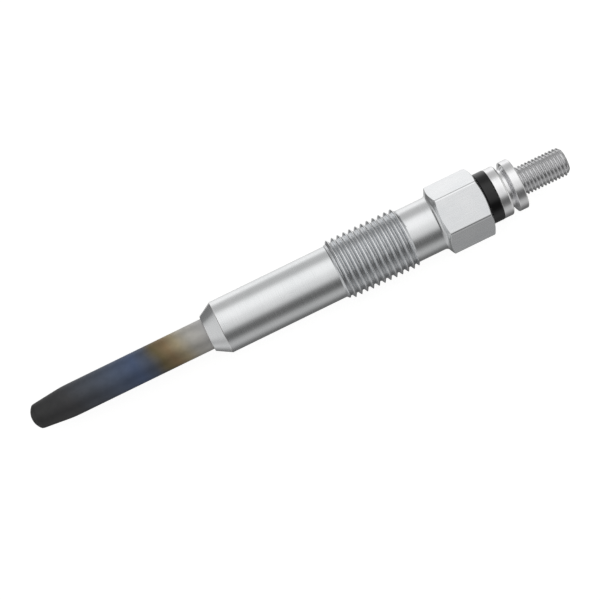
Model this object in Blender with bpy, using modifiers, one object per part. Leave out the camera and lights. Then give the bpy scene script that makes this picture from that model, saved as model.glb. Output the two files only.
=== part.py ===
"""Diesel glow plug of the sheathed-element type, in metres, +Z up.

The plug lies along X on the lower flat of its hexagon, with the glow tube towards -X and the
terminal towards +X. The origin is on the surface it lies on, halfway along its length.
Every piece is drawn upright, along its own Z, and an empty lays the whole plug down.
"""

import math

import bmesh
import bpy

MM = 0.001

# Fits between pieces
PRESS_GAP = 0.03 * MM  # radial gap of a pressed or compacted fit
FACE_GAP = 0.03 * MM  # axial gap between two faces that meet
WELD_GAP = 0.05 * MM  # gap where a wire end is welded

# Glow tube: a thin sheath, closed and tapered at the tip
TUBE_DIAMETER = 5.1 * MM
TUBE_WALL = 0.42 * MM
TUBE_EXPOSED_LENGTH = 29.85 * MM
TUBE_SEATED_LENGTH = 16.0 * MM
TUBE_FIT_LENGTH = 7.5 * MM  # pressed into the housing, behind the seat
TUBE_RELIEF = 0.45 * MM  # radial room round the tube behind its fit
TIP_DRAW = 0.6 * MM  # how far the taper draws the wall in, on each side
TIP_DOME_LENGTH = 0.85 * MM
TIP_TAPER_LENGTH = 5.2 * MM
TIP_EDGE_RADIUS = 0.35 * MM
TIP_WALL = 1.0 * MM

# Housing: seat, shank, thread, neck and hexagon on one turned blank
SEAT_LIP_WIDTH = 0.5 * MM  # flat rim of the seat, round the tube
SEAT_LENGTH = 2.3 * MM
SHANK_CLEARANCE = 0.1 * MM  # radial, under the thread's root, to pass the tapped hole
SHANK_LENGTH = 19.5 * MM
THREAD_DIAMETER = 9.9 * MM
THREAD_PITCH = 1.0 * MM
THREAD_DEPTH = 0.56 * MM
THREAD_LENGTH = 12.4 * MM
THREAD_LEAD_LENGTH = 0.68 * MM  # chamfer at the front end
THREAD_RUNOUT_LENGTH = 0.3 * MM  # steep shoulder at the rear end
NECK_RELIEF = 0.02 * MM  # radial, under the thread's root
NECK_LENGTH = 4.45 * MM
NECK_FILLET = 0.85 * MM
HEX_ACROSS_FLATS = 9.95 * MM
HEX_ACROSS_CORNERS = 11.38 * MM
HEX_LENGTH = 7.8 * MM  # from the end of the fillet to the rear face
HEX_REAR_FACE_DIAMETER = 8.46 * MM
HEX_CHAMFER_ANGLE = math.radians(24)
COUNTERBORE_DEPTH = 4.3 * MM
BORE_EDGE_CHAMFER = 0.25 * MM

# Coils, powder and rod inside the tube
COIL_WIRE_DIAMETER = 0.38 * MM
COIL_LEAD_LENGTH = 0.5 * MM
HEATING_COIL_COVER = 0.4 * MM  # powder round the coil where the bore is narrowest
HEATING_COIL_PITCH = 1.05 * MM
HEATING_COIL_TURNS = 8
REGULATING_COIL_COVER = 0.6 * MM  # powder round the coil
REGULATING_COIL_PITCH = 1.3 * MM
REGULATING_COIL_TURNS = 12
ROD_COVER = 0.88 * MM  # powder or seal between the rod's front end and the tube's bore
ROD_NOSE_LENGTH = 0.6 * MM
ROD_NOSE_DRAW = 0.5 * MM  # how far the nose narrows, on each side
ROD_SHOULDER_GAP = 0.5 * MM  # from the tube's mouth to the shoulder where the rod thickens
ROD_SHOULDER_LENGTH = 0.3 * MM
ROD_DIAMETER = 3.5 * MM  # behind the tube
ROD_CLEARANCE = 0.3 * MM  # radial, round the rod in the housing
TUBE_SEAL_LENGTH = 3.0 * MM
HOUSING_SEAL_SECTION = 1.09 * MM  # thickness of the O-ring

# Terminal end
WASHER_DIAMETER = 8.34 * MM
WASHER_THICKNESS = 1.75 * MM
WASHER_EDGE_RADIUS = 0.1 * MM
RING_DIAMETER = 8.26 * MM
RING_THICKNESS = 1.66 * MM
RING_EDGE_CHAMFER = 0.1 * MM
STUD_NECK_DIAMETER = 6.35 * MM
STUD_NECK_LENGTH = 0.53 * MM
COLLAR_DIAMETER = 8.3 * MM
COLLAR_LENGTH = 1.9 * MM
COLLAR_BEVEL_LENGTH = 0.45 * MM
COLLAR_EDGE_CHAMFER = 0.12 * MM
STUD_DIAMETER = 4.7 * MM
STUD_LENGTH = 8.22 * MM
STUD_THREAD_PITCH = 0.59 * MM
STUD_THREAD_DEPTH = 0.32 * MM
STUD_PLAIN_LENGTH = 0.25 * MM
STUD_END_CHAMFER = 0.6 * MM
ROD_SOCKET_DEPTH = 2.5 * MM

# Mesh fineness
TURN_STEPS = 30
COIL_STEPS = 10
ARC_STEPS = 4
WIRE_BEVEL_STEPS = 2

# Thread form: crest width and cutter overrun as shares of the pitch, and the flank's half angle
CREST_SHARE = 1 / 8
OVERRUN_SHARE = 0.09
FLANK_ANGLE = math.radians(30)

# Sizes that follow from the pieces round them
TIP_EDGE_DIAMETER = TUBE_DIAMETER - 2 * TIP_DRAW
TUBE_BORE_DIAMETER = TUBE_DIAMETER - 2 * TUBE_WALL
TIP_BORE_DIAMETER = TIP_EDGE_DIAMETER - 2 * TUBE_WALL
HEATING_COIL_DIAMETER = TIP_BORE_DIAMETER - 2 * HEATING_COIL_COVER - COIL_WIRE_DIAMETER
REGULATING_COIL_DIAMETER = TUBE_BORE_DIAMETER - 2 * REGULATING_COIL_COVER - COIL_WIRE_DIAMETER
ROD_FRONT_DIAMETER = TUBE_BORE_DIAMETER - 2 * ROD_COVER
ROD_NOSE_DIAMETER = ROD_FRONT_DIAMETER - 2 * ROD_NOSE_DRAW
SEAT_FRONT_DIAMETER = TUBE_DIAMETER + 2 * SEAT_LIP_WIDTH
THREAD_ROOT_DIAMETER = THREAD_DIAMETER - 2 * THREAD_DEPTH
SHANK_DIAMETER = THREAD_ROOT_DIAMETER - 2 * SHANK_CLEARANCE
NECK_DIAMETER = THREAD_ROOT_DIAMETER - 2 * NECK_RELIEF
ROD_BORE_DIAMETER = ROD_DIAMETER + 2 * ROD_CLEARANCE
COUNTERBORE_DIAMETER = ROD_DIAMETER + 2 * HOUSING_SEAL_SECTION + 4 * PRESS_GAP

# Stations along the plug, from the tip
SEAT_FRONT = TUBE_EXPOSED_LENGTH
SHANK_START = SEAT_FRONT + SEAT_LENGTH
THREAD_START = SHANK_START + SHANK_LENGTH
THREAD_END = THREAD_START + THREAD_LENGTH
FILLET_START = THREAD_END + NECK_LENGTH
FILLET_END = FILLET_START + NECK_FILLET * math.cos(HEX_CHAMFER_ANGLE)
HEX_REAR = FILLET_END + HEX_LENGTH
WASHER_FRONT = HEX_REAR + FACE_GAP
RING_FRONT = WASHER_FRONT + WASHER_THICKNESS + FACE_GAP
STUD_FRONT = RING_FRONT + RING_THICKNESS + FACE_GAP
COLLAR_FRONT = STUD_FRONT + STUD_NECK_LENGTH
COLLAR_REAR = COLLAR_FRONT + COLLAR_LENGTH
PLUG_LENGTH = COLLAR_REAR + STUD_LENGTH
TUBE_END = TUBE_EXPOSED_LENGTH + TUBE_SEATED_LENGTH
TUBE_FIT_END = TUBE_EXPOSED_LENGTH + TUBE_FIT_LENGTH
COUNTERBORE_START = HEX_REAR - COUNTERBORE_DEPTH

# Coil stations: each coil spirals out from the axis and back in over its first and last turn
HEATING_START = TIP_WALL + WELD_GAP
HEATING_END = HEATING_START + HEATING_COIL_TURNS * HEATING_COIL_PITCH + 2 * COIL_LEAD_LENGTH
REGULATING_START = HEATING_END + WELD_GAP
REGULATING_END = REGULATING_START + REGULATING_COIL_TURNS * REGULATING_COIL_PITCH + 2 * COIL_LEAD_LENGTH
ROD_START = REGULATING_END + WELD_GAP
ROD_END = STUD_FRONT + ROD_SOCKET_DEPTH - FACE_GAP
ROD_SHOULDER = TUBE_END + ROD_SHOULDER_GAP
TUBE_SEAL_START = TUBE_END - TUBE_SEAL_LENGTH
SPIGOT_END = COUNTERBORE_START + HOUSING_SEAL_SECTION + 2 * FACE_GAP

# Height of the plug's axis above the surface: whichever reaches lower, flat or thread crest
AXIS_HEIGHT = max(HEX_ACROSS_FLATS, THREAD_DIAMETER, COLLAR_DIAMETER) / 2

MERGE_DISTANCE = 0.001 * MM


def clear_scene():
    for obj in list(bpy.data.objects):
        bpy.data.objects.remove(obj, do_unlink=True)


def make_collection(name):
    collection = bpy.data.collections.new(name)
    bpy.context.scene.collection.children.link(collection)
    return collection


def make_material(name, colour, roughness, metallic):
    material = bpy.data.materials.new(name)
    material.use_nodes = True
    shader = material.node_tree.nodes["Principled BSDF"]
    shader.inputs["Base Color"].default_value = (*colour, 1.0)
    shader.inputs["Roughness"].default_value = roughness
    shader.inputs["Metallic"].default_value = metallic
    return material


def place(name, data, collection):
    """A new object whose Z is the plug's axis, with heights counted from the tip."""
    obj = bpy.data.objects.new(name, data)
    obj.parent = axis_empty
    collection.objects.link(obj)
    return obj


def mark_as_cutter(obj):
    obj.hide_render = True
    obj.display_type = "WIRE"
    return obj


def arc(centre, radius, start, end, steps=ARC_STEPS):
    """Points (radius from the axis, height) on a circle, from one angle to another in degrees."""
    points = []
    for step in range(steps + 1):
        angle = math.radians(start + (end - start) * step / steps)
        points.append((centre[0] + radius * math.cos(angle), centre[1] + radius * math.sin(angle)))
    return points


def turned(name, outline, collection, closed):
    """Turns an outline of (radius, height) points, which runs down its outer side, about Z.

    It starts half a step off X, so that a facet faces the surface and an edge each hexagon corner.
    """
    mesh = bpy.data.meshes.new(name)
    count = len(outline)
    half_step = math.pi / TURN_STEPS
    along_x = math.cos(half_step)
    along_y = math.sin(half_step)
    vertices = [(radius * along_x, radius * along_y, height) for radius, height in outline]
    edges = [(index, index + 1) for index in range(count - 1)]
    if closed:
        edges.append((count - 1, 0))
    mesh.from_pydata(vertices, edges, [])
    obj = place(name, mesh, collection)
    screw = obj.modifiers.new("Turn", "SCREW")
    screw.axis = "Z"
    screw.angle = math.tau
    screw.steps = TURN_STEPS
    screw.render_steps = TURN_STEPS
    screw.use_merge_vertices = True
    screw.merge_threshold = MERGE_DISTANCE
    return obj


def cylinder_mesh(name, radius, bottom, top, sides):
    """A capped cylinder or prism along Z, with its first corner at +Y."""
    mesh = bpy.data.meshes.new(name)
    shape = bmesh.new()
    bmesh.ops.create_cone(
        shape, cap_ends=True, segments=sides, radius1=radius, radius2=radius, depth=top - bottom
    )
    bmesh.ops.translate(shape, verts=shape.verts, vec=(0.0, 0.0, (top + bottom) / 2))
    shape.to_mesh(mesh)
    shape.free()
    return mesh


def combine(obj, other, operation):
    modifier = obj.modifiers.new(f"{operation.title()} {other.name}", "BOOLEAN")
    modifier.operation = operation
    modifier.solver = "EXACT"
    modifier.object = other


def groove_cutter(name, major_diameter, pitch, depth, first, last):
    """A helical V with a narrow flat root: one face carried round the axis and along it.

    Its edges run half a step off those of the turned pieces.
    """
    major_radius = major_diameter / 2
    outer_radius = major_radius + OVERRUN_SHARE * pitch
    root_radius = major_radius - depth
    width_at_major = pitch * (1 - CREST_SHARE) / 2
    outer_half = width_at_major + (outer_radius - major_radius) * math.tan(FLANK_ANGLE)
    root_half = max(width_at_major - depth * math.tan(FLANK_ANGLE), MERGE_DISTANCE)
    step_angle = math.tau / TURN_STEPS
    corners = (
        (outer_radius, -outer_half),
        (root_radius, -root_half),
        (root_radius, root_half),
        (outer_radius, outer_half),
    )
    shape = bmesh.new()
    vertices = [shape.verts.new((radius, 0.0, first + height)) for radius, height in corners]
    shape.faces.new(vertices)
    steps = math.ceil((last - first) / pitch * TURN_STEPS)
    bmesh.ops.spin(
        shape,
        geom=shape.verts[:] + shape.edges[:] + shape.faces[:],
        cent=(0.0, 0.0, 0.0),
        axis=(0.0, 0.0, 1.0),
        dvec=(0.0, 0.0, pitch / TURN_STEPS),
        angle=steps * step_angle,
        steps=steps,
    )
    bmesh.ops.recalc_face_normals(shape, faces=shape.faces[:])
    mesh = bpy.data.meshes.new(name)
    shape.to_mesh(mesh)
    shape.free()
    return mark_as_cutter(place(name, mesh, cutters))


def coil_path(start, diameter, pitch, turns):
    """A lead on the axis, then turns whose radius grows over the first and shrinks over the last."""
    points = [(0.0, 0.0, start)]
    for step in range(turns * COIL_STEPS + 1):
        turn = step / COIL_STEPS
        radius = diameter / 2 * min(turn, turns - turn, 1.0)
        angle = math.tau * turn
        height = start + COIL_LEAD_LENGTH + turn * pitch
        points.append((radius * math.cos(angle), radius * math.sin(angle), height))
    points.append((0.0, 0.0, points[-1][2] + COIL_LEAD_LENGTH))
    return points


def wire(name, path, diameter, collection):
    curve = bpy.data.curves.new(name, "CURVE")
    curve.dimensions = "3D"
    curve.bevel_depth = diameter / 2
    curve.bevel_resolution = WIRE_BEVEL_STEPS
    curve.use_fill_caps = True
    spline = curve.splines.new("POLY")
    spline.points.add(len(path) - 1)
    for point, position in zip(spline.points, path):
        point.co = (*position, 1.0)
    return place(name, curve, collection)


def wire_cutter(name, path, diameter):
    """A wire made a closed mesh, so that a Boolean can take it."""
    guide = wire(name + "_guide", path, diameter, cutters)
    bpy.context.view_layer.update()
    evaluated = guide.evaluated_get(bpy.context.evaluated_depsgraph_get())
    mesh = bpy.data.meshes.new_from_object(evaluated)
    shape = bmesh.new()
    shape.from_mesh(mesh)
    bmesh.ops.remove_doubles(shape, verts=shape.verts, dist=MERGE_DISTANCE)
    bmesh.ops.recalc_face_normals(shape, faces=shape.faces)
    shape.to_mesh(mesh)
    shape.free()
    bpy.data.objects.remove(guide, do_unlink=True)
    return mark_as_cutter(place(name, mesh, cutters))


def finish(obj, material):
    """Applies the modifiers, shades the round faces smooth and gives the piece its material."""
    if obj.type == "MESH":
        bpy.context.view_layer.update()
        evaluated = obj.evaluated_get(bpy.context.evaluated_depsgraph_get())
        mesh = bpy.data.meshes.new_from_object(evaluated)
        obj.modifiers.clear()
        obj.data = mesh
        mesh.name = obj.name
        mesh.shade_smooth()
        mesh.set_sharp_from_angle(angle=math.radians(35))
    obj.data.materials.clear()
    obj.data.materials.append(material)


def tube_bore_outline(inset):
    """The closed bore of the glow tube, from its tip end to its straight wall, drawn in by a gap."""
    bore_radius = TUBE_BORE_DIAMETER / 2 - inset
    tip_bore_radius = TIP_BORE_DIAMETER / 2 - inset
    taper_end = TIP_DOME_LENGTH + TIP_TAPER_LENGTH
    return [
        (0.0, TIP_WALL + inset),
        (tip_bore_radius, TIP_WALL + inset),
        (bore_radius, taper_end),
    ]


def make_glow_tube():
    radius = TUBE_DIAMETER / 2
    edge = TIP_EDGE_DIAMETER / 2
    bore = tube_bore_outline(0.0)
    # The dome's sphere passes through the apex and the tip's edge.
    sphere = (edge**2 + TIP_DOME_LENGTH**2) / (2 * TIP_DOME_LENGTH)
    half_angle = math.degrees(math.asin(edge / sphere))
    outline = [
        (bore[-1][0], TUBE_END),
        (radius, TUBE_END),
        (radius, TIP_DOME_LENGTH + TIP_TAPER_LENGTH),
        (edge + TIP_EDGE_RADIUS / 4, TIP_DOME_LENGTH + TIP_EDGE_RADIUS),
    ]
    outline += arc((0.0, sphere), sphere, half_angle - 90, -90)
    outline[-1] = (0.0, 0.0)
    outline += bore
    return turned("glow_tube", outline, parts, closed=True)


def make_insulating_powder(path):
    top = TUBE_SEAL_START - FACE_GAP
    bore = tube_bore_outline(PRESS_GAP)
    pocket = ROD_FRONT_DIAMETER / 2 + PRESS_GAP
    nose = ROD_NOSE_DIAMETER / 2 + PRESS_GAP
    outline = [(pocket, top), (bore[-1][0], top)]
    outline += reversed(bore)
    outline += [
        (0.0, ROD_START - FACE_GAP),
        (nose, ROD_START - FACE_GAP),
        (pocket, ROD_START + ROD_NOSE_LENGTH),
    ]
    powder = turned("insulating_powder", outline, parts, closed=True)
    tunnel = wire_cutter("coil_tunnel_cutter", path, COIL_WIRE_DIAMETER + 2 * PRESS_GAP)
    combine(powder, tunnel, "DIFFERENCE")
    return powder


def make_tube_seal():
    outer = TUBE_BORE_DIAMETER / 2 - PRESS_GAP
    inner = ROD_FRONT_DIAMETER / 2 + PRESS_GAP
    outline = [
        (inner, TUBE_END),
        (outer, TUBE_END),
        (outer, TUBE_SEAL_START),
        (inner, TUBE_SEAL_START),
    ]
    return turned("tube_seal", outline, parts, closed=True)


def make_center_rod():
    front = ROD_FRONT_DIAMETER / 2
    rear = ROD_DIAMETER / 2
    outline = [
        (0.0, ROD_END),
        (rear - BORE_EDGE_CHAMFER, ROD_END),
        (rear, ROD_END - BORE_EDGE_CHAMFER),
        (rear, ROD_SHOULDER + ROD_SHOULDER_LENGTH),
        (front, ROD_SHOULDER),
        (front, ROD_START + ROD_NOSE_LENGTH),
        (ROD_NOSE_DIAMETER / 2, ROD_START),
        (0.0, ROD_START),
    ]
    return turned("center_rod", outline, parts, closed=False)


def make_housing():
    seat = SEAT_FRONT_DIAMETER / 2
    shank = SHANK_DIAMETER / 2
    crest = THREAD_DIAMETER / 2
    neck = NECK_DIAMETER / 2
    corner = HEX_ACROSS_CORNERS / 2
    rear_face = HEX_REAR_FACE_DIAMETER / 2
    tube_bore = TUBE_DIAMETER / 2 + PRESS_GAP
    relief = tube_bore + TUBE_RELIEF
    rod_bore = ROD_BORE_DIAMETER / 2
    counterbore = COUNTERBORE_DIAMETER / 2
    shoulder = TUBE_END + FACE_GAP
    chamfer_slope = math.tan(HEX_CHAMFER_ANGLE)
    fillet_end = 90 + math.degrees(HEX_CHAMFER_ANGLE)
    fillet = arc((neck + NECK_FILLET, FILLET_START), NECK_FILLET, fillet_end, 180)
    outline = [
        (counterbore + BORE_EDGE_CHAMFER, HEX_REAR),
        (rear_face, HEX_REAR),
        (corner, HEX_REAR - (corner - rear_face) * chamfer_slope),
        (corner, FILLET_END + (corner - fillet[0][0]) * chamfer_slope),
    ]
    outline += fillet
    outline += [
        (neck, THREAD_END),
        (crest, THREAD_END - THREAD_RUNOUT_LENGTH),
        (crest, THREAD_START + THREAD_LEAD_LENGTH),
        (shank, THREAD_START),
        (shank, SHANK_START),
        (seat, SEAT_FRONT),
        (tube_bore, SEAT_FRONT),
        (tube_bore, TUBE_FIT_END),
        (relief, TUBE_FIT_END + TUBE_RELIEF),
        (relief, shoulder),
        (rod_bore, shoulder),
        (rod_bore, COUNTERBORE_START),
        (counterbore, COUNTERBORE_START),
        (counterbore, HEX_REAR - BORE_EDGE_CHAMFER),
    ]
    housing = turned("housing", outline, parts, closed=True)

    # The hexagon is milled by a disc with a hexagonal hole, which starts on the fillet.
    margin = HEX_ACROSS_CORNERS - HEX_ACROSS_FLATS
    disc_mesh = cylinder_mesh(
        "hex_cutter", corner + margin, FILLET_START, HEX_REAR + margin, TURN_STEPS
    )
    disc = mark_as_cutter(place("hex_cutter", disc_mesh, cutters))
    prism_mesh = cylinder_mesh(
        "hex_prism",
        HEX_ACROSS_FLATS / 2 / math.cos(math.pi / 6),
        FILLET_START - margin,
        HEX_REAR + 2 * margin,
        6,
    )
    prism = mark_as_cutter(place("hex_prism", prism_mesh, cutters))
    combine(disc, prism, "DIFFERENCE")
    combine(housing, disc, "DIFFERENCE")

    groove = groove_cutter(
        "housing_thread_cutter",
        THREAD_DIAMETER,
        THREAD_PITCH,
        THREAD_DEPTH,
        THREAD_START - THREAD_PITCH,
        THREAD_END + THREAD_PITCH / 2,
    )
    combine(housing, groove, "DIFFERENCE")
    return housing


def make_housing_seal():
    """The O-ring, round in section, on the shoulder of the counterbore."""
    section_radius = HOUSING_SEAL_SECTION / 2
    middle = (ROD_DIAMETER + COUNTERBORE_DIAMETER) / 4
    height = COUNTERBORE_START + FACE_GAP + section_radius
    outline = arc((middle, height), section_radius, 90, -270, 10)[:-1]
    return turned("housing_seal", outline, parts, closed=True)


def make_insulating_washer():
    outer = WASHER_DIAMETER / 2
    edge = WASHER_EDGE_RADIUS
    spigot = COUNTERBORE_DIAMETER / 2 - PRESS_GAP
    inner = ROD_DIAMETER / 2 + PRESS_GAP
    top = WASHER_FRONT + WASHER_THICKNESS
    outline = [(inner, top)]
    outline += arc((outer - edge, top - edge), edge, 90, 0, 2)
    outline += arc((outer - edge, WASHER_FRONT + edge), edge, 0, -90, 2)
    outline += [
        (spigot, WASHER_FRONT),
        (spigot, SPIGOT_END + BORE_EDGE_CHAMFER),
        (spigot - BORE_EDGE_CHAMFER, SPIGOT_END),
        (inner, SPIGOT_END),
    ]
    return turned("insulating_washer", outline, parts, closed=True)


def make_clamp_ring():
    outer = RING_DIAMETER / 2
    inner = ROD_DIAMETER / 2 + PRESS_GAP
    top = RING_FRONT + RING_THICKNESS
    outline = [
        (inner, top),
        (outer - RING_EDGE_CHAMFER, top),
        (outer, top - RING_EDGE_CHAMFER),
        (outer, RING_FRONT),
        (inner, RING_FRONT),
    ]
    return turned("clamp_ring", outline, parts, closed=True)


def make_terminal_stud():
    neck = STUD_NECK_DIAMETER / 2
    collar = COLLAR_DIAMETER / 2
    stud = STUD_DIAMETER / 2
    socket = ROD_DIAMETER / 2 + PRESS_GAP
    outline = [
        (0.0, PLUG_LENGTH),
        (stud - STUD_END_CHAMFER, PLUG_LENGTH),
        (stud, PLUG_LENGTH - STUD_END_CHAMFER),
        (stud, COLLAR_REAR),
        (collar - COLLAR_EDGE_CHAMFER, COLLAR_REAR),
        (collar, COLLAR_REAR - COLLAR_EDGE_CHAMFER),
        (collar, COLLAR_FRONT + COLLAR_BEVEL_LENGTH),
        (neck, COLLAR_FRONT),
        (neck, STUD_FRONT),
        (socket, STUD_FRONT),
        (socket, STUD_FRONT + ROD_SOCKET_DEPTH),
        (0.0, STUD_FRONT + ROD_SOCKET_DEPTH),
    ]
    terminal = turned("terminal_stud", outline, parts, closed=False)
    groove_half = STUD_THREAD_PITCH * (1 - CREST_SHARE) / 2
    groove = groove_cutter(
        "stud_thread_cutter",
        STUD_DIAMETER,
        STUD_THREAD_PITCH,
        STUD_THREAD_DEPTH,
        COLLAR_REAR + STUD_PLAIN_LENGTH + groove_half,
        PLUG_LENGTH + STUD_THREAD_PITCH,
    )
    combine(terminal, groove, "DIFFERENCE")
    return terminal


clear_scene()
parts = make_collection("glow_plug")
cutters = make_collection("cutters")
axis_empty = bpy.data.objects.new("plug_axis", None)
axis_empty.location = (-PLUG_LENGTH / 2, 0.0, AXIS_HEIGHT)
axis_empty.rotation_euler = (0.0, math.pi / 2, 0.0)
parts.objects.link(axis_empty)

plated_steel = make_material("zinc_plated_steel", (0.62, 0.63, 0.64), 0.3, 1.0)
bright_steel = make_material("bright_nickel_plate", (0.68, 0.69, 0.7), 0.2, 1.0)
stud_steel = make_material("rolled_steel_thread", (0.5, 0.5, 0.51), 0.35, 1.0)
tinted_alloy = make_material("heat_tinted_nickel_alloy", (0.14, 0.14, 0.15), 0.4, 1.0)
resistance_wire = make_material("resistance_wire", (0.3, 0.29, 0.28), 0.4, 1.0)
rod_steel = make_material("drawn_steel_rod", (0.45, 0.45, 0.46), 0.35, 1.0)
magnesia = make_material("pressed_magnesia", (0.8, 0.79, 0.76), 0.9, 0.0)
black_plastic = make_material("black_moulded_plastic", (0.008, 0.008, 0.009), 0.2, 0.0)
seal_rubber = make_material("seal_rubber", (0.02, 0.02, 0.02), 0.6, 0.0)

heating_path = coil_path(
    HEATING_START, HEATING_COIL_DIAMETER, HEATING_COIL_PITCH, HEATING_COIL_TURNS
)
regulating_path = coil_path(
    REGULATING_START, REGULATING_COIL_DIAMETER, REGULATING_COIL_PITCH, REGULATING_COIL_TURNS
)
# The tunnel in the powder holds both coils, opens at the tip end and ends in the rod's pocket.
tunnel_start = (0.0, 0.0, TIP_WALL)
tunnel_end = (0.0, 0.0, ROD_START + ROD_NOSE_LENGTH / 2)
tunnel_path = [tunnel_start, *heating_path[1:-1], *regulating_path[1:-1], tunnel_end]

finish(make_housing(), plated_steel)
finish(make_glow_tube(), tinted_alloy)
finish(wire("heating_coil", heating_path, COIL_WIRE_DIAMETER, parts), resistance_wire)
finish(wire("regulating_coil", regulating_path, COIL_WIRE_DIAMETER, parts), resistance_wire)
finish(make_insulating_powder(tunnel_path), magnesia)
finish(make_tube_seal(), seal_rubber)
finish(make_center_rod(), rod_steel)
finish(make_housing_seal(), seal_rubber)
finish(make_insulating_washer(), black_plastic)
finish(make_clamp_ring(), bright_steel)
finish(make_terminal_stud(), stud_steel)
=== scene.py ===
import math

import bmesh
import bpy
import numpy as np
from mathutils import Matrix, Vector


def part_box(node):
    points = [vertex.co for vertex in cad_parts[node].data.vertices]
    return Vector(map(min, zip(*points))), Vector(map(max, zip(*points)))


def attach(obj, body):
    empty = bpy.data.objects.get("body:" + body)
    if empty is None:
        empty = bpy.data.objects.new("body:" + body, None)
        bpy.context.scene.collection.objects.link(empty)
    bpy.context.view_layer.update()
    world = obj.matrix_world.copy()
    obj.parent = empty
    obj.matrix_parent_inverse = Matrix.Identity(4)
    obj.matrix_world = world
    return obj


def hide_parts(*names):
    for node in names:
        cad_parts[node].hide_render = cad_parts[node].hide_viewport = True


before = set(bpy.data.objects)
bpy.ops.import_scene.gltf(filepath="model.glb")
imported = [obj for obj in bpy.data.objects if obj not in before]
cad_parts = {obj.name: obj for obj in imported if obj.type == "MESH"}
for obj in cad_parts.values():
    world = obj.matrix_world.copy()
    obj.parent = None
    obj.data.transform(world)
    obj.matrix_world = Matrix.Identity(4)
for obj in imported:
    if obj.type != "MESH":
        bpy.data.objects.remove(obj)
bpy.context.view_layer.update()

mm = 0.001
bodyLow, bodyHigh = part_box("housing")
tubeLow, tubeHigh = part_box("glow_tube")
washerLow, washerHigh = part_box("insulating_washer")
ringLow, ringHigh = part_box("clamp_ring")
studLow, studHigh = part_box("terminal_stud")
axisHeight = (bodyLow[2] + bodyHigh[2]) / 2  # m, of the plug's axis over the floor


cameraView = {
    "lens": 99.0,  # mm, on a square 36 mm frame
    "sensor": 36.0,
    "place": (-8.505, -8.66, 258.8),  # mm
    "aim": (-0.725, -1.56, 4.975),  # mm, the middle of the picture
    "turn": 26.0,  # degrees that the terminal end points up from level
    "clip": (0.01, 20.0),  # m
}


# The camera looks from its place at its aim. Its right is a level direction turned back by the turn and made
# square to that line, and its up is the cross product of right and ahead.
def aimCamera():
    place = Vector(cameraView["place"]) * mm
    ahead = (Vector(cameraView["aim"]) * mm - place).normalized()
    turn = math.radians(cameraView["turn"])
    right = Vector((math.cos(turn), -math.sin(turn), 0.0))
    right = (right - right.dot(ahead) * ahead).normalized()
    up = right.cross(ahead)
    data = bpy.data.cameras.new("plugCamera")
    data.lens = cameraView["lens"]
    data.sensor_width = cameraView["sensor"]
    data.clip_start, data.clip_end = cameraView["clip"]
    camera = bpy.data.objects.new("plugCamera", data)
    camera.matrix_world = Matrix.Translation(place) @ Matrix((right, up, -ahead)).transposed().to_4x4()
    bpy.context.scene.collection.objects.link(camera)
    bpy.context.scene.camera = camera
    bpy.context.scene.view_settings.view_transform = "Standard"


aimCamera()
print("camera set")


# sRGB hex to linear: each channel c is ((c + 0.055) / 1.055) ** 2.4, or c / 12.92 where it is dark
def fromHex(code):
    channels = [int(code[k:k + 2], 16) / 255 for k in (1, 3, 5)]
    return tuple(c / 12.92 if c <= 0.04045 else ((c + 0.055) / 1.055) ** 2.4 for c in channels) + (1.0,)


# Adds one shader node. A socket gets a value, or a (node, output) pair that it is linked from.
def addNode(tree, kind, sockets=None, **settings):
    node = tree.nodes.new("ShaderNode" + kind)
    for name, value in settings.items():
        setattr(node, name, value)
    for socket, value in (sockets or {}).items():
        if isinstance(value, tuple) and isinstance(value[0], bpy.types.Node):
            tree.links.new(value[0].outputs[value[1]], node.inputs[socket])
        else:
            node.inputs[socket].default_value = value
    return node


studio = {
    "floorColour": "#9a9a99",
    "floorReach": 3.0,  # m from the middle to each edge
    "floorGlow": 0.85,  # added where the camera sees the floor; with its own light it is white
    "boxLevel": 0.35,  # brightness of the overhead softbox for everything but mirrored rays, 1 is white
    "boxHeight": 0.5,  # m above the floor
    "boxWidth": (-0.265, 1.05),  # m, its edges across the plug
    "boxLength": 1.3,  # m, along the plug
    # brightness of the room as metal mirrors it, softbox and all, round the plug's long axis: degrees from
    # overhead, + is the far side
    "room": [(-180, 0.12), (-138, 0.14), (-126, 0.21), (-114, 0.35), (-100, 0.48), (-84, 0.42), (-70, 0.17),
             (-60, 0.12), (-48, 0.115), (-43, 0.13), (-36, 0.22), (-28, 0.46), (-19, 0.68), (-9, 0.78),
             (0, 0.82), (9, 0.90), (17, 1.0), (26, 1.04), (44, 1.05), (54, 0.93), (63, 0.69), (72, 0.51),
             (84, 0.49), (99, 0.52), (108, 0.72), (118, 1.05), (142, 0.92), (160, 0.70), (180, 0.35)],
    # the same for directions that lean a little towards either end of the plug, beside the softbox
    "roomGap": [(-180, 0.15), (-140, 0.25), (-118, 0.60), (-95, 0.50), (-65, 0.42), (-42, 0.10), (-26, 0.07),
                (50, 0.08), (62, 0.34), (78, 0.42), (96, 0.22), (130, 0.18), (180, 0.15)],
    # and for those that lean far
    "roomEnds": [(-180, 0.35), (-174, 0.20), (-166, 0.08), (-150, 0.07), (-141, 0.30), (-128, 0.60),
                 (-114, 0.74), (-102, 0.46), (-88, 0.40), (-66, 0.58), (-50, 0.69), (50, 0.69), (70, 0.62),
                 (85, 0.46), (92, 0.30), (100, 0.14), (132, 0.12), (146, 0.55), (162, 0.62), (172, 0.42),
                 (180, 0.35)],
    # share of the direction that lies along the plug: where the second list fades in and where the third
    # one does, towards the tip and towards the terminal
    "gapTip": (0.20, 0.28),
    "endTip": (0.64, 0.74),
    "gapTerminal": (0.36, 0.44),
    "endTerminal": (0.46, 0.58),
}


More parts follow.
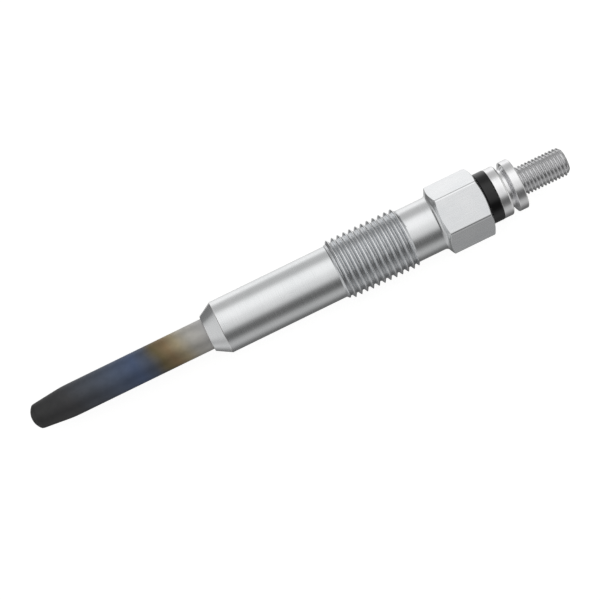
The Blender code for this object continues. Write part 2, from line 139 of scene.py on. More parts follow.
# A grey level read off a list of (place, level) pairs: the value is mapped from the range low to high
# onto 0 to 1, and a colour ramp holds the levels there.
def levelRamp(tree, value, low, high, levels):
    share = addNode(tree, "MapRange", {"Value": value, "From Min": low, "From Max": high})
    ramp = addNode(tree, "ValToRGB", {"Fac": (share, 0)})
    stops = ramp.color_ramp.elements
    while len(stops) < len(levels):
        stops.new(0.5)
    first, last = levels[0][0], levels[-1][0]
    for stop, (place, level) in zip(stops, levels):
        stop.position = (place - first) / (last - first)
        stop.color = (level, level, level, 1.0)
    return ramp


# A square of pale paper at height 0. What the camera sees is the paper's shade plus the glow. Mirrored and
# shadow rays pass through, so metal sees the room's lower half in place of the floor.
def layFloor():
    reach = studio["floorReach"]
    corners = [(-reach, -reach, 0), (reach, -reach, 0), (reach, reach, 0), (-reach, reach, 0)]
    mesh = bpy.data.meshes.new("paleFloor")
    mesh.from_pydata(corners, [], [(0, 1, 2, 3)])
    floor = bpy.data.objects.new("paleFloor", mesh)
    bpy.context.scene.collection.objects.link(floor)
    material = bpy.data.materials.new("palePaperSweep")
    material.use_nodes = True
    tree = material.node_tree
    tree.nodes.clear()
    paper = addNode(tree, "BsdfDiffuse", {"Color": fromHex(studio["floorColour"])})
    path = addNode(tree, "LightPath")
    direct = addNode(tree, "Math", {0: (path, "Is Camera Ray"), 1: studio["floorGlow"]}, operation="MULTIPLY")
    light = addNode(tree, "Emission", {"Strength": (direct, 0)})
    both = addNode(tree, "AddShader", {0: (paper, 0), 1: (light, 0)})
    through = addNode(tree, "BsdfTransparent")
    bounced = addNode(tree, "Math", {0: (path, "Is Glossy Ray"), 1: (path, "Is Transmission Ray")},
                      operation="MAXIMUM")
    passing = addNode(tree, "Math", {0: (bounced, 0), 1: (path, "Is Shadow Ray")}, operation="MAXIMUM")
    shown = addNode(tree, "MixShader", {0: (passing, 0), 1: (both, 0), 2: (through, 0)})
    addNode(tree, "OutputMaterial", {"Surface": (shown, 0)})
    mesh.materials.append(material)


# An area lamp whose energy is its level times pi times its area, so that level 1 lights white paper white
# from close by. Metal doesn't see it, since the room's lists hold its mirror image.
def hangSoftbox():
    low, high = studio["boxWidth"]
    data = bpy.data.lights.new("overheadSoftbox", "AREA")
    data.shape = "RECTANGLE"
    data.size = studio["boxLength"]
    data.size_y = high - low
    data.energy = studio["boxLevel"] * math.pi * data.size * data.size_y
    lamp = bpy.data.objects.new("overheadSoftbox", data)
    lamp.location = (0.0, (low + high) / 2, studio["boxHeight"])
    lamp.visible_camera = False
    lamp.visible_glossy = False
    bpy.context.scene.collection.objects.link(lamp)


# The world's grey level by direction: the angle round the plug is the arc tangent of Y over Z, and each list
# gives a level for it. As the share along X grows, the second list fades in over the first and the third
# over both.
def paintRoom():
    world = bpy.data.worlds.new("studioRoom")
    bpy.context.scene.world = world
    world.use_nodes = True
    tree = world.node_tree
    tree.nodes.clear()
    place = addNode(tree, "TexCoord")
    part = addNode(tree, "SeparateXYZ", {"Vector": (place, "Generated")})
    angle = addNode(tree, "Math", {0: (part, "Y"), 1: (part, "Z")}, operation="ARCTAN2")
    around, gap, ends = (levelRamp(tree, (angle, 0), -math.pi, math.pi, studio[name])
                         for name in ("room", "roomGap", "roomEnds"))
    toTip = addNode(tree, "Math", {0: (part, "X"), 1: -1.0}, operation="MULTIPLY")
    fades = []
    for source, name in ((toTip, "gapTip"), (part, "gapTerminal"), (toTip, "endTip"), (part, "endTerminal")):
        low, high = studio[name]
        fades.append(addNode(tree, "MapRange", {"Value": (source, 0), "From Min": low, "From Max": high}))
    near = addNode(tree, "Math", {0: (fades[0], 0), 1: (fades[1], 0)}, operation="MAXIMUM")
    far = addNode(tree, "Math", {0: (fades[2], 0), 1: (fades[3], 0)}, operation="MAXIMUM")
    beside = addNode(tree, "Mix", {0: (near, 0), 6: (around, 0), 7: (gap, 0)}, data_type="RGBA")
    level = addNode(tree, "Mix", {0: (far, 0), 6: (beside, 2), 7: (ends, 0)}, data_type="RGBA")
    sky = addNode(tree, "Background", {"Color": (level, 2), "Strength": 1.0})
    addNode(tree, "OutputWorld", {"Surface": (sky, 0)})


layFloor()
hangSoftbox()
paintRoom()
print("floor and light set")


finishBasics = {
    "noiseSpan": (0.3, 0.7),  # part of a noise's range that is spread over the whole of what it drives
    # colour of the painted shade in the bottoms of grooves
    "grooveShadeColour": (0.05, 0.05, 0.05, 1.0),
    "smoothing": 0.05,  # roughness that rubbing takes off
}


# A finish in general: soft patches shift the colour, a grain shifts the roughness and gives the bump,
# and the piece's own attribute for wear and shade tells rubbed edges and crests, 1, which are brighter
# and smoother, and the bottoms of grooves, -1, which are darkened by painted shade.
# The grain is a noise whose size is given along X and across it, in mm, so long across means turned rings.
def newFinish(name, look):
    material = bpy.data.materials.new(name)
    material.use_nodes = True
    tree = material.node_tree
    tree.nodes.clear()
    place = addNode(tree, "TexCoord")
    spanLow, spanHigh = finishBasics["noiseSpan"]
    patches = addNode(tree, "TexNoise", {"Vector": (place, "Object"), "Scale": 1 / (look["patch"] * mm),
                                         "Detail": 3.0, "Roughness": 0.55})
    along, across = look["grain"]
    stretched = addNode(tree, "Mapping", {"Vector": (place, "Object"),
                                          "Scale": (1 / (along * mm), 1 / (across * mm), 1 / (across * mm))})
    grain = addNode(tree, "TexNoise", {"Vector": (stretched, 0), "Scale": 1.0,
                                       "Detail": 2.0, "Roughness": 0.6})
    mixed = addNode(tree, "MapRange", {"Value": (patches, 0), "From Min": spanLow, "From Max": spanHigh})
    colour = addNode(tree, "Mix", {0: (mixed, 0), 6: fromHex(look["dark"]), 7: fromHex(look["light"])},
                     data_type="RGBA")
    worn = addNode(tree, "Attribute", attribute_name="worn")
    rubbing = addNode(tree, "Math", {0: (worn, "Fac"), 1: 0.0}, operation="MAXIMUM")
    # painted shade: the bottoms of grooves, -1, are darkened towards the shade colour by the look's share
    grooveShade = addNode(tree, "Math", {0: (worn, "Fac"), 1: -look.get("grooveShade", 0.0)}, operation="MULTIPLY",
                    use_clamp=True)
    dimmed = addNode(tree, "Mix", {0: (grooveShade, 0), 6: (colour, 2), 7: finishBasics["grooveShadeColour"]},
                     data_type="RGBA")
    rubbed = addNode(tree, "Mix", {0: (rubbing, 0), 6: (dimmed, 2), 7: fromHex(look["rubbed"])},
                     data_type="RGBA")
    low, high = look["roughness"]
    rough = addNode(tree, "MapRange", {"Value": (grain, 0), "From Min": spanLow, "From Max": spanHigh,
                                       "To Min": low, "To Max": high})
    smoother = addNode(tree, "Math", {0: (rubbing, 0), 1: -finishBasics["smoothing"], 2: (rough, 0)},
                       operation="MULTIPLY_ADD")
    bump = addNode(tree, "Bump", {"Height": (grain, 0), "Strength": look["bump"],
                                  "Distance": look["depth"] * mm})
    shader = addNode(tree, "BsdfPrincipled", {"Base Color": (rubbed, 2), "Roughness": (smoother, 0),
                                              "Normal": (bump, 0), "Metallic": look["metallic"]})
    addNode(tree, "OutputMaterial", {"Surface": (shader, 0)})
    return material, tree, shader


# Bright zinc plate on turned steel: pale neutral metal with fine rings from the lathe tool, which draw each
# reflection out a little. The real rings are 0.05 mm apart; 0.16 mm is the finest that shows.
turnedZincPlate = newFinish("turnedZincPlate", {
    "light": "#f1f2f3", "dark": "#e9ebec", "rubbed": "#f6f6f6", "metallic": 1.0, "roughness": (0.22, 0.29),
    "patch": 6.0, "grain": (0.16, 9.0), "bump": 0.06, "depth": 0.01})[0]

# The same plate on a cut thread: darkened with painted shade in the grooves, rubbed bright along the crests.
cutThreadPlate = newFinish("cutThreadPlate", {
    "light": "#eceef0", "dark": "#e0e2e4", "rubbed": "#ffffff", "metallic": 1.0, "roughness": (0.21, 0.28),
    "patch": 3.0, "grain": (0.2, 1.6), "bump": 0.12, "depth": 0.01, "grooveShade": 0.3})[0]

# The same plate on drawn hexagon bar: even, satin, slightly cloudy, with faint streaks along the bar.
drawnHexPlate = newFinish("drawnHexPlate", {
    "light": "#f4f5f6", "dark": "#eceef0", "rubbed": "#f4f5f6", "metallic": 1.0, "roughness": (0.24, 0.30),
    "patch": 4.0, "grain": (3.5, 0.3), "bump": 0.03, "depth": 0.01})[0]

# Bright nickel plate, turned and polished: clear reflections with only a trace of rings.
brightNickelPlate = newFinish("brightNickelPlate", {
    "light": "#fafafb", "dark": "#f2f2f3", "rubbed": "#fcfcfc", "metallic": 1.0, "roughness": (0.16, 0.23),
    "patch": 3.0, "grain": (0.14, 5.0), "bump": 0.10, "depth": 0.008})[0]

# Rolled steel thread with thin plate: greyer and softer than the collar, with painted shade in its grooves.
rolledSteelThread = newFinish("rolledSteelThread", {
    "light": "#ececed", "dark": "#dededf", "rubbed": "#f8f8f8", "metallic": 1.0, "roughness": (0.22, 0.29),
    "patch": 2.0, "grain": (0.2, 1.0), "bump": 0.15, "depth": 0.01, "grooveShade": 0.12})[0]

# Glossy moulded plastic, near black: sharp dim reflections over a faint mould grain.
mouldedBlackPlastic = newFinish("mouldedBlackPlastic", {
    "light": "#060607", "dark": "#040405", "rubbed": "#0a0a0b", "metallic": 0.0, "roughness": (0.12, 0.18),
    "patch": 2.0, "grain": (0.25, 0.25), "bump": 0.05, "depth": 0.01})[0]

# Drawn resistance wire, dulled by its first heating.
resistanceWire = newFinish("resistanceWire", {
    "light": "#9a9793", "dark": "#7c7976", "rubbed": "#9a9793", "metallic": 1.0, "roughness": (0.35, 0.45),
    "patch": 1.0, "grain": (0.1, 0.1), "bump": 0.2, "depth": 0.005})[0]

# Magnesia powder pressed hard by swaging: matt white with a fine crumbly grain.
pressedMagnesia = newFinish("pressedMagnesia", {
    "light": "#e8e6e1", "dark": "#d9d6cf", "rubbed": "#e8e6e1", "metallic": 0.0, "roughness": (0.85, 0.95),
    "patch": 1.5, "grain": (0.12, 0.12), "bump": 0.4, "depth": 0.02})[0]

# Cold-drawn steel rod: even grey with fine drawing lines along it.
drawnRodSteel = newFinish("drawnRodSteel", {
    "light": "#b4b5b7", "dark": "#a2a3a5", "rubbed": "#b4b5b7", "metallic": 1.0, "roughness": (0.30, 0.40),
    "patch": 3.0, "grain": (4.0, 0.12), "bump": 0.15, "depth": 0.005})[0]

# Moulded seal rubber: matt black, slightly dusty.
mouldedSealRubber = newFinish("mouldedSealRubber", {
    "light": "#262627", "dark": "#1b1b1c", "rubbed": "#2c2c2d", "metallic": 0.0, "roughness": (0.55, 0.7),
    "patch": 1.0, "grain": (0.15, 0.15), "bump": 0.2, "depth": 0.01})[0]

print("finishes made")


largestCut = 0.2  # share of a corner's shorter side that its rounding may take


# Round corners of an outline of (station, radius) points, given for every column of the grid, in mm.
# Each corner is cut back along both sides by its radius, at most a fifth of the shorter side, and bridged
# by a quadratic curve that the corner pulls; a guard row as far again outside keeps the flats flat.
# Returns the rows and a second array that is 1 on the curves and 0 elsewhere.
def roundedOutline(corners, radii, steps=3):
    rows, worn = [], []
    share = np.linspace(0.0, 1.0, steps + 1)[:, None, None]
    columns = corners.shape[1]
    for k, radius in enumerate(radii):
        here = corners[k]
        if radius == 0:
            rows.append(here[None])
            worn.append(np.zeros((1, columns)))
            continue
        back, ahead = corners[k - 1] - here, corners[k + 1] - here
        backLength = np.linalg.norm(back, axis=-1, keepdims=True)
        aheadLength = np.linalg.norm(ahead, axis=-1, keepdims=True)
        cut = np.minimum(radius, largestCut * np.minimum(backLength, aheadLength))
        back, ahead = back / backLength * cut, ahead / aheadLength * cut
        first, last = here + back, here + ahead
        curve = (1 - share) ** 2 * first + 2 * share * (1 - share) * here + share ** 2 * last
        rows += [(here + 2 * back)[None], curve, (here + 2 * ahead)[None]]
        worn += [np.zeros((1, columns)), np.ones((steps + 1, columns)), np.zeros((1, columns))]
    return np.concatenate(rows), np.concatenate(worn)


# Smooth minimum of two values: the lesser one, blended by a parabola where they are within k of each other.
def softMin(a, b, k):
    h = np.clip(0.5 + 0.5 * (b - a) / k, 0.0, 1.0)
    return b * (1 - h) + a * h - k * h * (1 - h)


crestWearAndGrooveShade = {
    "flankLean": 60,  # degrees between a flank and the axis
    "crestReach": 0.12,  # share of the pitch over which the rubbing of a crest fades
    "crestDepth": 0.4,  # share of the depth over the root that is never rubbed
    "grooveShadeFade": 0.10,  # share of the pitch over which the painted shade in the grooves grows
    "grooveShadeDepth": 0.6,  # share of the depth that the painted shade fills at most
}


# A helical V thread: rows follow the helix, x = start + pitch * (turn + angle / full turn), and stay
# between the thread's two ends. The radius is the least of the crest, the groove's flanks and the turned
# blank, and never less than the root. Returns rows of (station, radius), and 1 along the crests, which are
# rubbed, -1 along the roots, which get painted shade.
def threadRows(thread, angles, ends):
    pitch, crest = thread["pitch"], thread["crest"]
    depth = thread["depth"]
    root = crest - depth
    first, last = ends
    half = np.array(thread["rows"])
    shares = np.concatenate([half, 1 - half[-2:0:-1]])
    turns = np.arange(-2, math.ceil((last - first) / pitch) + 2)
    helix = thread["crestStation"] + pitch * (turns[:, None] + shares[None]).ravel()[:, None] \
        + pitch * angles[None] / math.tau
    helix = helix[(helix.max(axis=1) > first) & (helix.min(axis=1) < last)]
    station = np.clip(helix, first, last)
    phase = (station - thread["crestStation"]) / pitch - angles[None] / math.tau
    offset = np.abs(phase - np.round(phase)) * pitch
    flank = crest - (offset - thread["crestFlat"] / 2) * math.tan(math.radians(crestWearAndGrooveShade["flankLean"]))
    ridge = softMin(flank, crest + 0 * flank, thread["round"])
    groove = -softMin(-ridge, -root + 0 * flank, thread["round"])
    frontCut = thread["frontRadius"] + (station - first) * thread["frontSlope"]
    rearCut = thread["rearRadius"] + (last - station) * thread["rearSlope"]
    radius = np.minimum(groove, np.minimum(frontCut, rearCut))
    rubbed = np.clip(1 - offset / (crestWearAndGrooveShade["crestReach"] * pitch), 0.0, 1.0)
    # painted shade: the bottoms of the grooves are marked -1 so that the finish darkens them
    grooveShaded = np.clip((offset / pitch - thread["grooveShadeStart"]) / crestWearAndGrooveShade["grooveShadeFade"], 0.0, 1.0)
    worn = rubbed * (radius > root + crestWearAndGrooveShade["crestDepth"] * depth)
    worn -= grooveShaded * (radius < root + crestWearAndGrooveShade["grooveShadeDepth"] * depth)
    return np.stack([station, radius], axis=-1), worn


skinBasics = {"mergeReach": 1e-7, "sharpFrom": 38}  # m, degrees


# A closed skin from a grid of (station, radius) rows by columns round the axis: x is the station from the
# tip, y the radius times the cosine of the column's angle and z times its sine, counted from the axis.
# The last column lies on the first, a full turn on, so that a helix joins its own next turn there. The rows
# run round, doubles and poles are merged, and the faces are turned outwards.
def turnedSkin(name, grid, worn, angles, finishes, rowFinish=None):
    station, radius = grid[..., 0] * mm, grid[..., 1] * mm
    points = np.stack([tubeLow[0] + station, radius * np.cos(angles), axisHeight + radius * np.sin(angles)],
                      axis=-1)
    rows, columns = radius.shape
    index = np.arange(rows * columns).reshape(rows, columns)
    ahead = np.roll(index, -1, axis=0)
    faces = np.stack([index[:, :-1], index[:, 1:], ahead[:, 1:], ahead[:, :-1]], axis=-1).reshape(-1, 4)
    mesh = bpy.data.meshes.new(name)
    mesh.from_pydata(points.reshape(-1, 3), [], faces)
    wear = mesh.attributes.new("worn", "FLOAT", "POINT")
    wear.data.foreach_set("value", worn.ravel().astype(np.float32))
    for finish in finishes:
        mesh.materials.append(finish)
    if rowFinish is not None:
        mesh.polygons.foreach_set("material_index", np.repeat(rowFinish, columns - 1).astype(np.int32))
    shape = bmesh.new()
    shape.from_mesh(mesh)
    bmesh.ops.remove_doubles(shape, verts=shape.verts, dist=skinBasics["mergeReach"])
    bmesh.ops.recalc_face_normals(shape, faces=shape.faces)
    if shape.calc_volume(signed=True) < 0:
        bmesh.ops.reverse_faces(shape, faces=shape.faces)
    shape.to_mesh(mesh)
    shape.free()
    mesh.shade_smooth()
    mesh.set_sharp_from_angle(angle=math.radians(skinBasics["sharpFrom"]))
    piece = bpy.data.objects.new(name, mesh)
    bpy.context.scene.collection.objects.link(piece)
    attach(piece, "root")
    print(f"{name}: {len(mesh.polygons)} faces")
    return piece


# The same (station, radius) corners for every column.
def everyColumn(corners, columns):
    return np.repeat(np.array(corners, dtype=float)[:, None, :], columns, axis=1)


evenColumns = np.linspace(0.0, math.tau, 129)  # the last one lies on the first


threadedBody = {  # mm and degrees, radii from the axis
    "seatFront": 29.85, "seatLip": 2.94, "seatLength": 2.3,  # conical seat
    "shankRadius": 4.29, "shankLength": 19.5,
    "threadLength": 12.4,
    "neckRadius": 4.37, "neckLength": 4.45, "fillet": 0.85,
    "halfFlats": 4.974, "cornerRadius": 0.5, "hexLength": 7.76, "rearFace": 4.23,
    "chamfer": 24.0, "rearChamfer": 21.0,
    "tubeBore": 2.58, "tubeFit": 37.35, "relief": 0.45, "tubeShoulder": 45.88,
    "rodBore": 2.05, "counterbore": 2.9, "counterboreDepth": 4.3,
    "edge": 0.06, "mouthEdge": 0.05, "lipEdge": 0.08, "shankEdge": 0.07, "boreEdge": 0.15,
    "guard": 0.2,  # a row this far behind the thread keeps the neck straight
    "filletGap": 0.01,  # between the fillet's last row and the cone's first
    "filletSteps": 9,
    "rubbedTurn": 2.0,  # degrees from a corner over which its rubbing fades
    # offsets in degrees of the columns from each corner of the hexagon, up to its flat's middle
    "cornerColumns": (0, 0.4, 0.8, 1.2, 1.6, 2.0, 2.3, 2.56, 3.2, 5, 8, 12, 16, 20.5, 25.5, 30),
    "thread": {
        "pitch": 1.0, "crest": 4.95, "depth": 0.56, "crestFlat": 0.1, "round": 0.05,
        "crestStation": 51.65 + 0.75,  # a crest's place on the +Y side
        "frontRadius": 4.29, "frontSlope": 0.97, "rearRadius": 4.37, "rearSlope": 1.93,
        "grooveShadeStart": 0.32,  # share of the pitch from the crest where the painted shade in the groove starts
        "rows": (0, 0.035, 0.07, 0.115, 0.25, 0.37, 0.42, 0.5),  # shares of the pitch from crest to root
    },
}


# The body as one grid of rows: bore, lip, cone and shank, the thread, the neck with a fillet that is an arc
# of a circle, and the hexagon, whose radius changes from column to column between its two cones.
def makeThreadedBody():
    size = threadedBody
    half = np.array(size["cornerColumns"])
    sector = np.concatenate([half, 60 - half[-2:0:-1]])
    angles = np.radians([*(np.arange(6)[:, None] * 60 + sector[None]).ravel(), 360])
    columns = len(angles)
    fromFlat = np.radians(np.degrees(angles) % 60 - 30)
    # hexagon: half its flats over the cosine of the angle from the flat's middle; round each corner an arc
    # of the corner's radius about a centre in the corner's own direction
    fromCorner = math.radians(30) - np.abs(fromFlat)
    arcPlace = (size["halfFlats"] - size["cornerRadius"]) / math.cos(math.radians(30))
    inside = np.maximum(size["cornerRadius"] ** 2 - (arcPlace * np.sin(fromCorner)) ** 2, 0.0)
    tangent = math.radians(30) - math.atan(arcPlace / 2 / size["halfFlats"])
    hexRadius = np.where(fromCorner < tangent, arcPlace * np.cos(fromCorner) + np.sqrt(inside),
                         size["halfFlats"] / np.cos(fromFlat))
    slope = math.tan(math.radians(size["chamfer"]))
    rearSlope = math.tan(math.radians(size["rearChamfer"]))

    seat = size["seatFront"]
    shank = seat + size["seatLength"]
    threadStart = shank + size["shankLength"]
    threadEnd = threadStart + size["threadLength"]
    filletStart = threadEnd + size["neckLength"]
    filletTurn = math.radians(90 - size["chamfer"])
    filletEnd = filletStart + size["fillet"] * math.sin(filletTurn)
    filletTop = size["neckRadius"] + size["fillet"] * (1 - math.cos(filletTurn))
    hexRear = filletEnd + size["hexLength"]

    # front: bore, lip, cone and shank
    front = everyColumn([
        (size["tubeShoulder"], size["tubeBore"] + size["relief"]),
        (size["tubeFit"] + size["relief"], size["tubeBore"] + size["relief"]),
        (size["tubeFit"], size["tubeBore"]), (seat, size["tubeBore"]), (seat, size["seatLip"]),
        (shank, size["shankRadius"]), (threadStart, size["shankRadius"])], columns)
    frontRows, frontWorn = roundedOutline(
        front, (0, 0, 0, size["mouthEdge"], size["lipEdge"], size["shankEdge"], 0))

    threadGrid, threadWearAndShade = threadRows(size["thread"], angles, (threadStart, threadEnd))

    # neck and fillet: an arc from the neck up to the hexagon's front cone
    turn = np.linspace(0.0, filletTurn, size["filletSteps"])
    arc = np.stack([filletStart + size["fillet"] * np.sin(turn),
                    size["neckRadius"] + size["fillet"] * (1 - np.cos(turn))], axis=-1)
    neck = everyColumn([(threadEnd, size["neckRadius"]), (threadEnd + size["guard"], size["neckRadius"]),
                        *arc], columns)
    neckRows, neckWorn = roundedOutline(neck, (0,) * len(neck))

    # hexagon: front cone, flat or turned-off corner, rear cone, rear face, stepped bore
    frontMeet = filletEnd + (hexRadius - filletTop) * slope
    rearMeet = hexRear - (hexRadius - size["rearFace"]) * rearSlope
    ones = np.ones(columns)
    hexagon = np.array([
        [filletEnd * ones + size["filletGap"], filletTop * ones + size["filletGap"] / slope],
        [frontMeet, hexRadius],
        [rearMeet, hexRadius],
        [hexRear * ones, size["rearFace"] * ones],
        [hexRear * ones, size["counterbore"] * ones],
        [(hexRear - size["counterboreDepth"]) * ones, size["counterbore"] * ones],
        [(hexRear - size["counterboreDepth"]) * ones, size["rodBore"] * ones],
        [size["tubeShoulder"] * ones, size["rodBore"] * ones],
    ]).transpose(0, 2, 1)
    edge = size["edge"]
    hexRows, hexWorn = roundedOutline(hexagon, (0, edge, edge, size["mouthEdge"], size["boreEdge"], 0, 0, 0))
    # the rounded corners are rubbed along the bar, on the rows that belong to its cones and flats
    barRows = 14
    ridge = np.exp(-(np.degrees(fromCorner) / size["rubbedTurn"]) ** 2)
    hexWorn[:barRows] = np.maximum(hexWorn[:barRows], ridge[None])

    grid = np.concatenate([frontRows, threadGrid, neckRows, hexRows])
    worn = np.concatenate([frontWorn, threadWearAndShade, neckWorn, hexWorn])
    rowFinish = np.concatenate([
        np.zeros(len(frontRows)), np.ones(len(threadGrid)), np.zeros(len(neckRows) + 1),
        np.full(barRows - 1, 2), np.zeros(len(hexRows) - barRows)])
    finishes = [turnedZincPlate, cutThreadPlate, drawnHexPlate]
    piece = turnedSkin("threadedBody", grid, worn, angles, finishes, rowFinish)
    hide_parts("housing")


makeThreadedBody()


glowTube = {  # mm
    "radius": 2.55, "wall": 0.42, "length": 45.85,
    "tipEdge": 1.95, "domeLength": 0.85, "taperLength": 5.2, "edgeRadius": 0.35, "tipWall": 1.0,
    "domeBlend": 0.12, "edgeBlend": 0.2, "taperBlend": 1.6, "domeRows": 12, "blendSteps": 5,
    # heat colours by distance from the tip in mm
    "tint": [(0, "#4f4f4e"), (6.5, "#545456"), (10.5, "#5d626b"), (14.5, "#616c80"), (18.2, "#5d6c8a"),
             (20.2, "#616876"), (21.8, "#7e7254"), (23.4, "#9a8464"), (25.0, "#b9ac8e"), (27.0, "#cac7bf"),
             (30.0, "#cfcecd")],
    "tintStart": 0.8,  # from the tip; the unevenness adds about as much on average
    "tintSlant": 0.25, "tintUneven": 1.6, "tintPatch": 5.0,
}


# Nickel alloy sheath, swaged smooth and then heated: satin, with a soft oxide that runs from grey at the
# tip through blue and straw to bare metal at the housing. The colours lie slightly slanted and uneven.
def heatTintedAlloy():
    material, tree, shader = newFinish("heatTintedAlloy", {
        "light": "#ffffff", "dark": "#ececec", "rubbed": "#ffffff", "metallic": 0.8,
        "roughness": (0.50, 0.58), "patch": 1.8, "grain": (0.5, 0.2), "bump": 0.10, "depth": 0.01})
    size = glowTube
    reach = size["tint"][-1][0]
    place = addNode(tree, "TexCoord")
    drift = addNode(tree, "TexNoise", {"Vector": (place, "Object"), "Scale": 1 / (size["tintPatch"] * mm),
                                       "Detail": 2.0})
    part = addNode(tree, "SeparateXYZ", {"Vector": (place, "Object")})
    slant = addNode(tree, "Math", {0: (part, "Y"), 1: size["tintSlant"], 2: (part, "X")},
                    operation="MULTIPLY_ADD")
    uneven = addNode(tree, "Math", {0: (drift, 0), 1: size["tintUneven"] * mm, 2: (slant, 0)},
                     operation="MULTIPLY_ADD")
    start = tubeLow[0] + size["tintStart"] * mm
    share = addNode(tree, "MapRange", {"Value": (uneven, 0), "From Min": start,
                                       "From Max": start + reach * mm})
    ramp = addNode(tree, "ValToRGB", {"Fac": (share, 0)})
    stops = ramp.color_ramp.elements
    while len(stops) < len(size["tint"]):
        stops.new(0.5)
    for stop, (distance, code) in zip(stops, size["tint"]):
        stop.position = distance / reach
        stop.color = fromHex(code)
    plain = shader.inputs["Base Color"].links[0].from_node
    tinted = addNode(tree, "Mix", {0: 1.0, 6: (ramp, 0), 7: (plain, 2)}, data_type="RGBA",
                     blend_type="MULTIPLY")
    tree.links.new(tinted.outputs[2], shader.inputs["Base Color"])
    return material


# The tube: its tip is a cap of the sphere through the apex and the tip's edge, whose radius is
# (edge squared + dome length squared) / twice the dome length; then a taper and the straight sheath.
def makeGlowTube():
    size = glowTube
    edge, dome = size["tipEdge"], size["domeLength"]
    sphere = (edge ** 2 + dome ** 2) / (2 * dome)
    rise = np.linspace(0.0, math.asin(edge / sphere), size["domeRows"])
    cap = np.stack([sphere * (1 - np.cos(rise)), sphere * np.sin(rise)], axis=-1)
    bore = size["radius"] - size["wall"]
    full = dome + size["taperLength"]
    outline = [
        (size["tipWall"], 0.0), *cap,
        (dome + size["edgeRadius"], edge + size["edgeRadius"] / 4),
        (full, size["radius"]), (size["length"], size["radius"]), (size["length"], bore),
        (full, bore), (size["tipWall"], edge - size["wall"]), (size["tipWall"], 0.0)]
    radii = [0] * len(outline)
    radii[len(cap)] = size["domeBlend"]
    radii[len(cap) + 1] = size["edgeBlend"]
    radii[len(cap) + 2] = size["taperBlend"]
    grid, worn = roundedOutline(everyColumn(outline, len(evenColumns)), radii, size["blendSteps"])
    piece = turnedSkin("glowTube", grid, 0 * worn, evenColumns, [heatTintedAlloy()])
    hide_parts("glow_tube")


makeGlowTube()


# Station of a place along X: its distance from the plug's tip in mm.
def stationOf(x):
    return (x - tubeLow[0]) / mm


insulatingWasher = {  # mm
    "radius": 4.17, "thickness": 1.75, "spigot": 2.87, "rodHole": 1.78,
    "edge": 0.12, "spigotEdge": 0.2, "holeEdge": 0.05, "steps": 4,
    "guard": 0.2,  # a row this far inside the rod hole keeps its face flat
}


# The washer and its spigot: an outline of straight lines with rounded corners, turned about the axis.
def makeInsulatingWasher():
    size = insulatingWasher
    spigotEnd, rear = stationOf(washerLow[0]), stationOf(washerHigh[0])
    front = rear - size["thickness"]
    outline = everyColumn([
        (spigotEnd, size["rodHole"]), (spigotEnd, size["spigot"]), (front, size["spigot"]),
        (front, size["radius"]), (rear, size["radius"]), (rear, size["rodHole"]),
        (rear - size["guard"], size["rodHole"])], len(evenColumns))
    radii = (0, size["spigotEdge"], 0, size["edge"], size["edge"], size["holeEdge"], 0)
    grid, worn = roundedOutline(outline, radii, size["steps"])
    piece = turnedSkin("insulatingWasher", grid, worn, evenColumns, [mouldedBlackPlastic])
    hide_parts("insulating_washer")


clampRing = {  # mm
    "radius": 4.13, "rodHole": 1.78, "frontEdge": 0.08, "rearEdge": 0.33, "steps": 4,
    "guard": 0.2,  # rows this far inside the rod hole keep both faces flat
}


# The ring: a rectangle between the rod hole and its radius, with two rounded corners, turned about the axis.
def makeClampRing():
    size = clampRing
    front, rear = stationOf(ringLow[0]), stationOf(ringHigh[0])
    outline = everyColumn([
        (front + size["guard"], size["rodHole"]), (front, size["rodHole"]), (front, size["radius"]),
        (rear, size["radius"]), (rear, size["rodHole"]),
        (rear - size["guard"], size["rodHole"])], len(evenColumns))
    grid, worn = roundedOutline(outline, (0, 0, size["frontEdge"], size["rearEdge"], 0, 0), size["steps"])
    piece = turnedSkin("clampRing", grid, worn, evenColumns, [brightNickelPlate])
    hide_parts("clamp_ring")


makeInsulatingWasher()
makeClampRing()

terminalStud = {  # mm
    "neck": 3.175, "neckLength": 0.53, "collar": 4.15, "collarLength": 1.9, "bevel": 0.45,
    "mouthEdge": 0.03, "bevelEdge": 0.06, "collarEdge": 0.14, "steps": 4,
    "socket": 1.78, "socketDepth": 2.5, "plainLength": 0.25,
    "firstCrest": -0.25,  # pitches from the thread's start to a crest on the +Y side
    "endStep": 0.05,  # how much smaller the flat end is than the thread's last row
    "thread": {
        "pitch": 0.59, "crest": 2.35, "depth": 0.32, "crestFlat": 0.07, "round": 0.05,
        "frontRadius": 2.35, "frontSlope": 1.0, "rearRadius": 1.75, "rearSlope": 1.0,
        # share of the pitch from the crest where the painted shade in the groove starts
        "grooveShadeStart": 0.34,
        "rows": (0, 0.05, 0.10, 0.16, 0.30, 0.42, 0.5),
    },
}


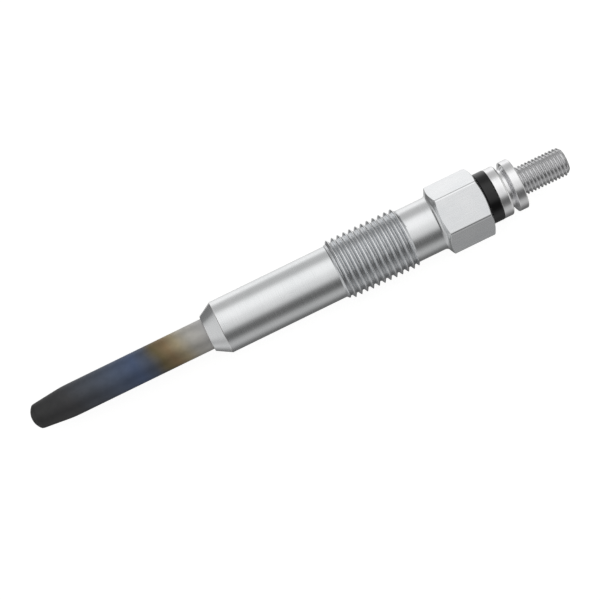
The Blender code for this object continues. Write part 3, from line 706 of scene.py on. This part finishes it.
# The stud as one grid of rows: socket, neck and bevelled collar, then the rolled thread and a flat end.
def makeTerminalStud():
    size = terminalStud
    front, rear = stationOf(studLow[0]), stationOf(studHigh[0])
    collarFront = front + size["neckLength"]
    collarRear = collarFront + size["collarLength"]
    threadStart = collarRear + size["plainLength"]
    columns = len(evenColumns)
    collar = everyColumn([
        (front + size["socketDepth"], 0.0), (front + size["socketDepth"], size["socket"]),
        (front, size["socket"]), (front, size["neck"]), (collarFront, size["neck"]),
        (collarFront + size["bevel"], size["collar"]), (collarRear, size["collar"]),
        (collarRear, size["thread"]["crest"]), (threadStart, size["thread"]["crest"])], columns)
    radii = (0, 0, size["mouthEdge"], 0, 0, size["bevelEdge"], size["collarEdge"], 0, 0)
    collarRows, collarWorn = roundedOutline(collar, radii, size["steps"])
    crestStation = threadStart + size["firstCrest"] * size["thread"]["pitch"]
    thread = {**size["thread"], "crestStation": crestStation}
    threadGrid, threadWearAndShade = threadRows(thread, evenColumns, (threadStart, rear))
    end = everyColumn([(rear, thread["rearRadius"] - size["endStep"]), (rear, 0.0)], columns)
    grid = np.concatenate([collarRows, threadGrid, end])
    worn = np.concatenate([collarWorn, threadWearAndShade, np.zeros((2, columns))])
    # the collar's last rows, from its inner edge on, belong to the thread
    brightRows = len(collarRows) - 3
    rowFinish = np.concatenate([np.zeros(brightRows), np.ones(len(grid) - brightRows)])
    finishes = [brightNickelPlate, rolledSteelThread]
    piece = turnedSkin("terminalStud", grid, worn, evenColumns, finishes, rowFinish)
    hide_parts("terminal_stud")


makeTerminalStud()


innerFinishes = {
    "heating_coil": resistanceWire,
    "regulating_coil": resistanceWire,
    "insulating_powder": pressedMagnesia,
    "tube_seal": mouldedSealRubber,
    "center_rod": drawnRodSteel,
    "housing_seal": mouldedSealRubber,
}


# The inner pieces keep their solids' meshes; each of their slots gets a finish.
def dressInnerPieces():
    for name, finish in innerFinishes.items():
        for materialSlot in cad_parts[name].material_slots:
            materialSlot.material = finish
    print(f"{len(innerFinishes)} inner pieces dressed")


dressInnerPieces()
